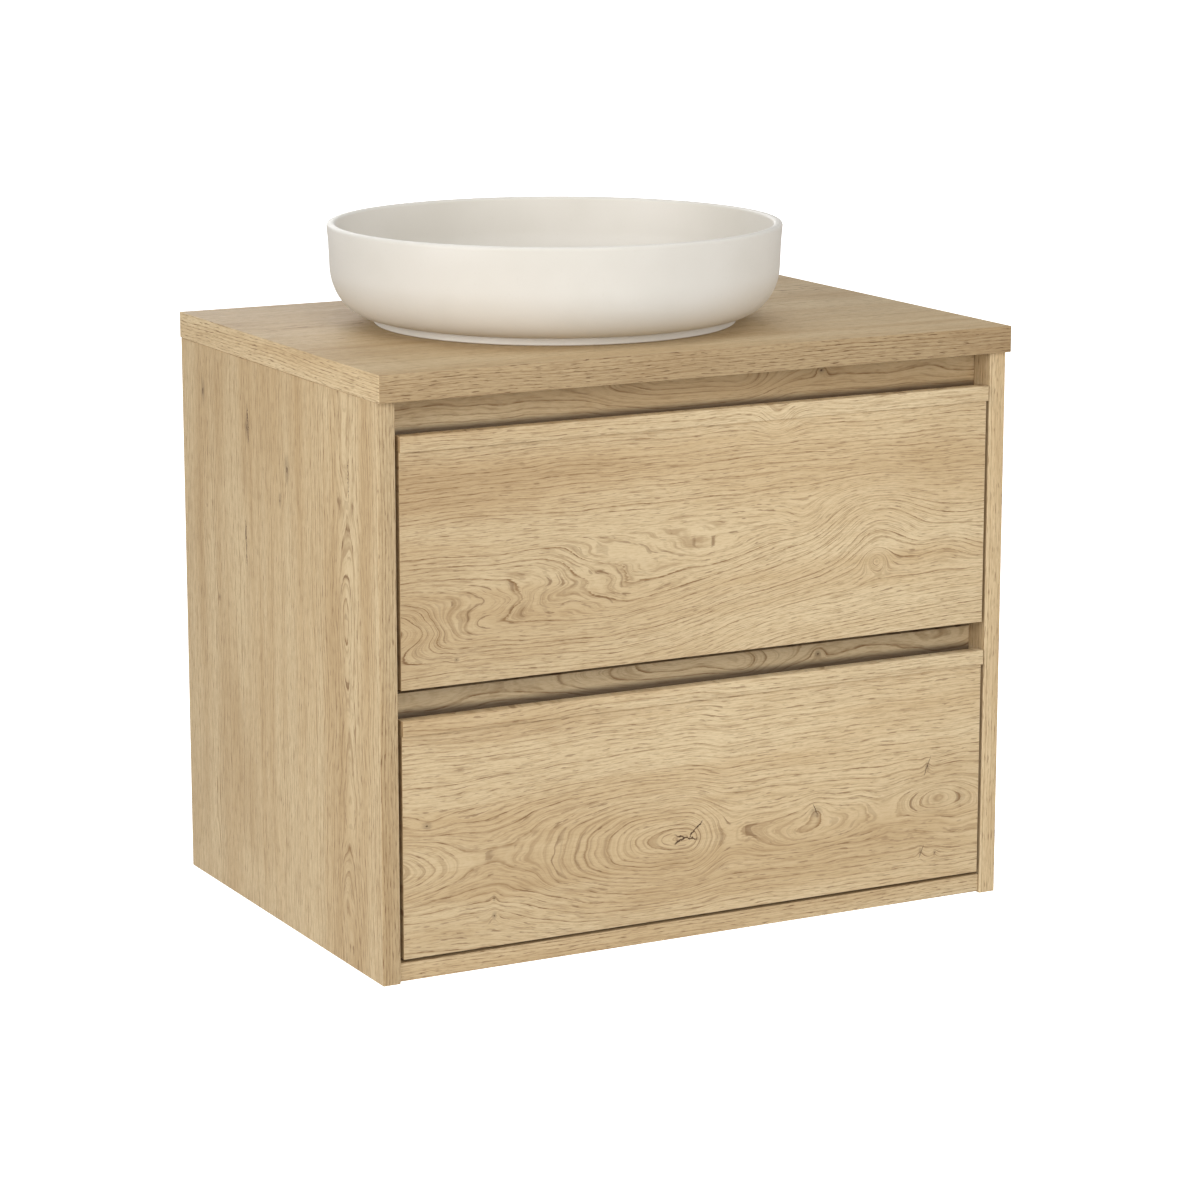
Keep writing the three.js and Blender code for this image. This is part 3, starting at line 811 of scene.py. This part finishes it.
def drawer_boxes():
    for level in ("upper", "lower"):
        for side in ("left", "right"):
            drawer_board(f"{level}_drawer_side_{side}", level + "_drawer", melamine, "drawer_board", 2.0)
    drawer_board("lower_drawer_back", "lower_drawer", melamine, "drawer_board", 2.0)
    drawer_board("lower_drawer_bottom", "lower_drawer", melamine, "drawer_board", 0.4)
    drawer_board("upper_drawer_back_left", "upper_drawer", melamine, "drawer_board", 2.0)
    drawer_board("upper_drawer_back_right", "upper_drawer", melamine, "drawer_board", 2.0)
    for wall in ("left", "right", "front"):
        drawer_board("trap_recess_wall_" + wall, "upper_drawer", white_plastic, "white_plastic", 2.4)
    floor_board = recast("upper_drawer_bottom", "upper_drawer_floor")
    soften(floor_board, 0.4 * MM, 2)
    dress(floor_board, melamine)
    smooth(floor_board)
    seat(floor_board, "upper_drawer", "drawer_board", "upper_drawer_bottom")


# ---- metalwork ----


def screw_head(name, axis, radius):
    """A countersunk head at the origin with a six-sided socket, facing the plus side of its axis."""
    head = peg(name, (0, 0, 0), radius, 1.6 * MM, "Z", 24)
    soften(head, 0.4 * MM, 2)
    cut(head, peg("socket", (0, 0, 0.9 * MM), radius * 0.45, 1.4 * MM, "Z", 6))
    turn = {"X": Matrix.Rotation(math.pi / 2, 4, "Y"), "-X": Matrix.Rotation(-math.pi / 2, 4, "Y"),
            "Y": Matrix.Rotation(-math.pi / 2, 4, "X"), "-Y": Matrix.Rotation(math.pi / 2, 4, "X")}[axis]
    head.data.transform(turn)
    dress(head, zinc)
    smooth(head)
    return head


def screws(name, body, axis, radius, places):
    head = screw_head(name + "_one", axis, radius)
    made = copies(head, name, [Matrix.Translation(place) for place in places])
    seat(made, body, "zinc_steel")


def profile_places(node, count, x):
    low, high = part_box(node)
    step = (high.y - low.y) / (count + 1)
    return [Vector((x, low.y + step * (i + 1), (low.z + high.z) / 2)) for i in range(count)]


def runner_profile(node, body, outer):
    """A rolled C profile, drilled along its web. outer is the side its web stands on."""
    low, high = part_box(node)
    web = low.x if outer < 0 else high.x
    piece = recast(node, node + "_profile")
    for place in profile_places(node, 4, web):
        drill(piece, place, 2.6 * MM, 4 * MM, "X", 16)
    for place in profile_places(node, 9, web):
        drill(piece, place + Vector((0, 0, 8 * MM)), 1.4 * MM, 4 * MM, "X", 12)
    soften(piece, 0.35 * MM, 2, 50)
    dress(piece, zinc)
    smooth(piece)
    seat(piece, body, "zinc_steel", node)


def runner_screws(level, side, sign):
    """Fixing screws in the webs, inside the holes of the outer and inner profiles."""
    slot_side = "X" if sign < 0 else "-X"
    back_side = "-X" if sign < 0 else "X"
    outer = f"{level}_runner_cabinet_{side}"
    low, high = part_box(outer)
    web = (low.x if sign < 0 else high.x) - sign * 1.3 * MM
    places = profile_places(outer, 4, web)
    screws(f"{level}_cabinet_screws_{side}", "cabinet", slot_side, 2.3 * MM, places)
    inner = f"{level}_runner_drawer_{side}"
    low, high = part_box(inner)
    web = (high.x if sign < 0 else low.x) + sign * 1.3 * MM
    places = profile_places(inner, 4, web)
    screws(f"{level}_drawer_screws_{side}", level + "_drawer", back_side, 2.3 * MM, places)


def runners():
    for level in ("upper", "lower"):
        for side, sign in (("left", -1), ("right", 1)):
            runner_profile(f"{level}_runner_cabinet_{side}", "cabinet", sign)
            runner_profile(f"{level}_runner_middle_{side}", level + "_runner_middles", sign)
            runner_profile(f"{level}_runner_drawer_{side}", level + "_drawer", -sign)
            runner_screws(level, side, sign)


def hangers():
    """The hooks that carry the cabinet, with their adjusting screws, and the plates on the wall."""
    for side in ("left", "right"):
        hook = recast("hanger_" + side, "hook_" + side)
        low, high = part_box("hanger_" + side)
        middle_x = (low.x + high.x) / 2
        for height in (12, 26):
            place = Vector((middle_x, low.y, low.z + height * MM))
            drill(hook, place, 3.4 * MM, 2.4 * MM, "Y", 20)
        soften(hook, 0.5 * MM, 2, 50)
        dress(hook, zinc)
        smooth(hook)
        seat(hook, "cabinet", "zinc_steel", "hanger_" + side)
        places = [Vector((middle_x, low.y + 0.9 * MM, low.z + height * MM)) for height in (12, 26)]
        screws("hook_screws_" + side, "cabinet", "-Y", 3.0 * MM, places)
        wall_plate(side)


def wall_plate(side):
    """A folded plate with two long holes and the heads of its wall screws."""
    node = "wall_plate_" + side
    low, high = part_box(node)
    piece = recast(node, node + "_sheet")
    level = low.z + 13 * MM
    places = [Vector((low.x + 11 * MM, high.y - MM, level)), Vector((high.x - 11 * MM, high.y - MM, level))]
    for place in places:
        for shift in (-2.5, 2.5):
            drill(piece, place + Vector((0, 0, shift * MM)), 3 * MM, 8 * MM, "Y", 20)
    soften(piece, 0.4 * MM, 2, 50)
    dress(piece, zinc)
    smooth(piece)
    seat(piece, "cabinet", "zinc_steel", node)
    heads = [place - Vector((0, 1.8 * MM, 0)) for place in places]
    screws("wall_screws_" + side, "cabinet", "-Y", 4.6 * MM, heads)


# ---- basin ----


def basin():
    """A round shallow bowl: upright wall, tight lip, soft lower corner, and a foot ring."""
    low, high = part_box("basin")
    centre = middle_of("basin")
    centre.z = low.z
    radius = (high.x - low.x) / 2 / MM
    top = (high.z - low.z) / MM - 3
    drain = 22.5
    boss = 44
    foot = 158
    foot_inside = foot - 9
    outline = [(drain, 0.6), (boss, 0.6), (boss, 4), (foot_inside - 0.6, 4), (foot_inside, 3.4),
               (foot_inside, 0.6), (foot_inside + 0.6, 0), (foot - 0.8, 0), (foot, 0.8), (foot - 0.6, 6)]
    outline += arc((radius - 38, 51), (36, 44), -90, 0, 26)
    outline += [(radius - 1.2, 70)]
    outline += arc((radius - 3, top), (3, 3), 0, 90, 6)
    outline += arc((radius - 5, top), (3, 3), 90, 180, 6)
    outline += [(radius - 9, 68)]
    outline += arc((radius - 70, 59), (60, 44), 0, -90, 24)
    outline += [(60, 14.7), (37, 14), (35, 12.4), (34, 11), (drain, 11)]
    points = [(r * MM, z * MM) for r, z in outline]
    bowl = turned("basin_bowl", points, centre, steps=144)
    dress(bowl, glaze, clay)
    for polygon in bowl.data.polygons:
        low_down = polygon.center.z < low.z + 0.7 * MM
        polygon.material_index = 1 if low_down else 0
    smooth(bowl, 30)
    seat(bowl, "cabinet", "ceramic", "basin")


def waste():
    """The chrome flange and tail, with the cross that guides the plug's stem, and its fixings."""
    body = recast("waste_body", "waste_flange")
    soften(body, 0.35 * MM, 2, 30)
    dress(body, chrome)
    smooth(body, 40)
    seat(body, "cabinet", "chrome", "waste_body")
    ring_piece("waste_seal", "seal_ring", seal_rubber, "seal_rubber", 20.3, 0.8)
    ring_piece("waste_lock_nut", "lock_nut", white_plastic, "white_plastic", 20.3, 0.6)


def ring_piece(node, name, look, slot, bore, edge):
    """A flat ring with rounded edges; nuts get ears to turn them by."""
    low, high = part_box(node)
    centre = middle_of(node)
    centre.z = low.z
    outer = (high.x - low.x) / 2 / MM
    tall = (high.z - low.z) / MM
    if "nut" in node:
        outer -= 5
    outline = [(bore, 0), (outer - edge, 0), (outer, edge), (outer, tall - edge), (outer - edge, tall),
               (bore, tall)]
    piece = turned(name, [(r * MM, z * MM) for r, z in outline], centre, steps=72)
    if "nut" in node:
        add_ears(piece, centre, outer, tall)
    dress(piece, look)
    smooth(piece, 40)
    seat(piece, "cabinet", slot, node)


def add_ears(piece, centre, outer, tall):
    """Four blunt ears around a nut, joined to it."""
    reach = outer * MM
    low = centre + Vector((reach - 2 * MM, -4 * MM, 0.4 * MM))
    high = centre + Vector((reach + 4.9 * MM, 4 * MM, (tall - 0.4) * MM))
    ear = block("ear", low, high)
    soften(ear, 1.4 * MM, 3)
    name = piece.name
    to_axis = Matrix.Translation(-centre)
    back = Matrix.Translation(centre)
    turns = [back @ Matrix.Rotation(math.pi / 2 * i, 4, "Z") @ to_axis for i in range(4)]
    ears = copies(ear, "ears", turns)
    only(piece)
    ears.select_set(True)
    bpy.ops.object.join()
    piece.name = name


def grip_ribs(piece, centre, axis, radius, start, length, count, width):
    """Rounded ribs around a nut's wall, joined to it."""
    name = piece.name
    out = Vector((1, 0, 0))
    along = Vector((0, 0, 1)) if axis == "Z" else Vector((0, 1, 0))
    side = along.cross(out)
    corners = [centre + out * (radius - 1.2 * MM) - side * width / 2 + along * start,
               centre + out * radius + side * width / 2 + along * (start + length)]
    low = Vector([min(a, b) for a, b in zip(*corners)])
    high = Vector([max(a, b) for a, b in zip(*corners)])
    rib = block("rib", low, high)
    soften(rib, 0.5 * MM, 2)
    turns = [Matrix.Translation(centre) @ Matrix.Rotation(2 * math.pi * i / count, 4, axis)
             @ Matrix.Translation(-centre) for i in range(count)]
    ribs = copies(rib, "ribs", turns)
    only(piece)
    ribs.select_set(True)
    bpy.ops.object.join()
    piece.name = name


def plug():
    """A low domed cap with a rolled edge, and its stem."""
    centre = middle_of("plug_cap")
    centre.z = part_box("plug_cap")[0].z
    outline = [(0, 0), (27, 0), (29, 0.5), (29.8, 1.6), (30, 2.8), (29.6, 3.7), (28.6, 4.2), (24, 4.9),
               (16, 5.8), (8, 6.35), (0, 6.5)]
    cap = turned("plug_button", [(r * MM, z * MM) for r, z in outline], centre, steps=72)
    dress(cap, chrome)
    smooth(cap, 40)
    seat(cap, "plug", "chrome", "plug_cap")
    low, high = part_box("plug_stem")
    stem = peg("plug_rod", middle_of("plug_stem"), 4 * MM, high.z - low.z, "Z", 32)
    soften(stem, 0.8 * MM, 3)
    groove = turned("groove", [(3.4 * MM, 0), (6 * MM, 0), (6 * MM, 1.2 * MM), (3.4 * MM, 1.2 * MM)],
                    Vector((centre.x, centre.y, low.z + 5 * MM)), steps=32)
    cut(stem, groove)
    dress(stem, chrome)
    smooth(stem, 40)
    seat(stem, "plug", "chrome", "plug_stem")


# ---- trap ----


def plastic_shell(node, name, radius=0.5, angle=40, look=None, slot="white_plastic"):
    """A moulded shell taken from the node's own solid with its edges rounded."""
    piece = recast(node, name)
    soften(piece, radius * MM, 2, angle)
    dress(piece, look or white_plastic)
    smooth(piece, 35)
    seat(piece, "cabinet", slot, node)


def trap_nut(node, name, axis, outline, count):
    """A union nut with ribs to grip it by."""
    low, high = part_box(node)
    centre = middle_of(node)
    if axis == "Z":
        centre.z = low.z
        length = high.z - low.z
    else:
        centre.y = low.y
        length = high.y - low.y
    piece = turned(name, [(r * MM, z * MM) for r, z in outline], centre, axis, 64)
    grip_ribs(piece, centre, axis, 26 * MM, 2 * MM, length - 4 * MM, count, 3 * MM)
    dress(piece, white_plastic)
    smooth(piece, 40)
    seat(piece, "cabinet", "white_plastic", node)


def trap():
    trap_nut("trap_tail_nut", "tail_nut", "Z", [
        (16.3, 0), (24, 0), (25.1, 1.2), (25.1, 22.6), (24, 24), (20.3, 24), (20.3, 6), (16.3, 6)], 18)
    low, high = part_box("outlet_nut")
    tall = (high.y - low.y) / MM
    trap_nut("outlet_nut", "outlet_union_nut", "Y", [
        (18.8, 0), (24, 0), (25.1, 1.2), (25.1, tall - 1.4), (24, tall), (16.3, tall),
        (16.3, tall - 6), (18.8, tall - 6)], 18)
    plastic_shell("trap_body", "trap_bottle", 0.4, 30)
    plastic_shell("trap_dip_tube", "dip_tube", 0.4, 50)
    cup = recast("trap_cup", "trap_bowl")
    soften(cup, 0.5 * MM, 2, 30)
    low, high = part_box("trap_cup")
    centre = middle_of("trap_cup")
    centre.z = high.z - 14 * MM
    grip_ribs(cup, centre, "Z", (high.x - low.x) / 2, 1.2 * MM, 11.6 * MM, 24, 3 * MM)
    dress(cup, white_plastic)
    smooth(cup, 35)
    seat(cup, "cabinet", "white_plastic", "trap_cup")
    plastic_shell("outlet_pipe", "outlet_tube", 0.5, 50)
    plastic_shell("wall_rose", "wall_collar", 0.5, 30, chrome, "chrome")


carcass()
worktop()
drawer_front("upper")
drawer_front("lower")
drawer_boxes()
runners()
hangers()
basin()
waste()
plug()
trap()


# ---- camera, light and floor ----


def camera():
    data = bpy.data.cameras.new("camera")
    data.sensor_width = 36
    data.lens = 116.99
    holder = bpy.data.objects.new("camera", data)
    holder.location = (-1.58209, -3.20991, 0.92361)
    holder.rotation_euler = (math.pi / 2 - 0.21038, 0, -0.48789)
    bpy.context.scene.collection.objects.link(holder)
    bpy.context.scene.camera = holder


def soft_light(name, place, aim, size, power):
    data = bpy.data.lights.new(name, "AREA")
    data.shape = "DISK"
    data.size = size
    data.energy = power
    holder = bpy.data.objects.new(name, data)
    holder.location = place
    holder.rotation_euler = (Vector(aim) - Vector(place)).to_track_quat("-Z", "Y").to_euler()
    bpy.context.scene.collection.objects.link(holder)


def studio():
    """A white surround that looks pure white but lights gently, with broad lights around."""
    world = bpy.data.worlds.new("studio")
    world.use_nodes = True
    nodes, links = world.node_tree.nodes, world.node_tree.links
    background = nodes["Background"]
    background.inputs["Color"].default_value = (1, 1, 1, 1)
    seen = nodes.new("ShaderNodeLightPath").outputs["Is Camera Ray"]
    strength = nodes.new("ShaderNodeMath")
    strength.operation = "MULTIPLY_ADD"
    links.new(seen, strength.inputs[0])
    strength.inputs[1].default_value = 1.2
    strength.inputs[2].default_value = 0.36
    links.new(strength.outputs[0], background.inputs["Strength"])
    bpy.context.scene.world = world
    aim = (0, -0.2, 0.2)
    soft_light("key", (-0.4, -3.7, 1.5), aim, 3.0, 69)
    soft_light("left", (-3.7, -1.1, 1.5), aim, 2.6, 88)
    soft_light("right", (3.6, -1.2, 1.5), aim, 2.6, 27)
    soft_light("above", (-0.3, -0.8, 3.6), aim, 2.4, 14)
    soft_light("behind", (0.8, 3.4, 1.8), aim, 2.4, 40)
    bpy.context.scene.view_settings.view_transform = "Standard"


def floor():
    """A wide pale floor, well below where the vanity hangs, bright enough to read as white."""
    bpy.ops.object.select_all(action="DESELECT")
    bpy.ops.mesh.primitive_plane_add(size=60, location=(0, 0, -2.0))
    plane = settle(bpy.context.object, "floor")
    g = Graph("pale_floor")
    speckle = g.noise(g.place, 40.0, 2.0)
    white = g.blend(speckle, tint(254, 254, 254), tint(252, 252, 252))
    g.feed(g.shader.inputs["Emission Color"], white)
    seen = g.node("ShaderNodeLightPath").outputs["Is Camera Ray"]
    g.feed(g.shader.inputs["Emission Strength"], g.math("MULTIPLY_ADD", seen, 1.2, 0.2))
    dress(plane, g.finish(white, 0.9))


camera()
studio()
floor()
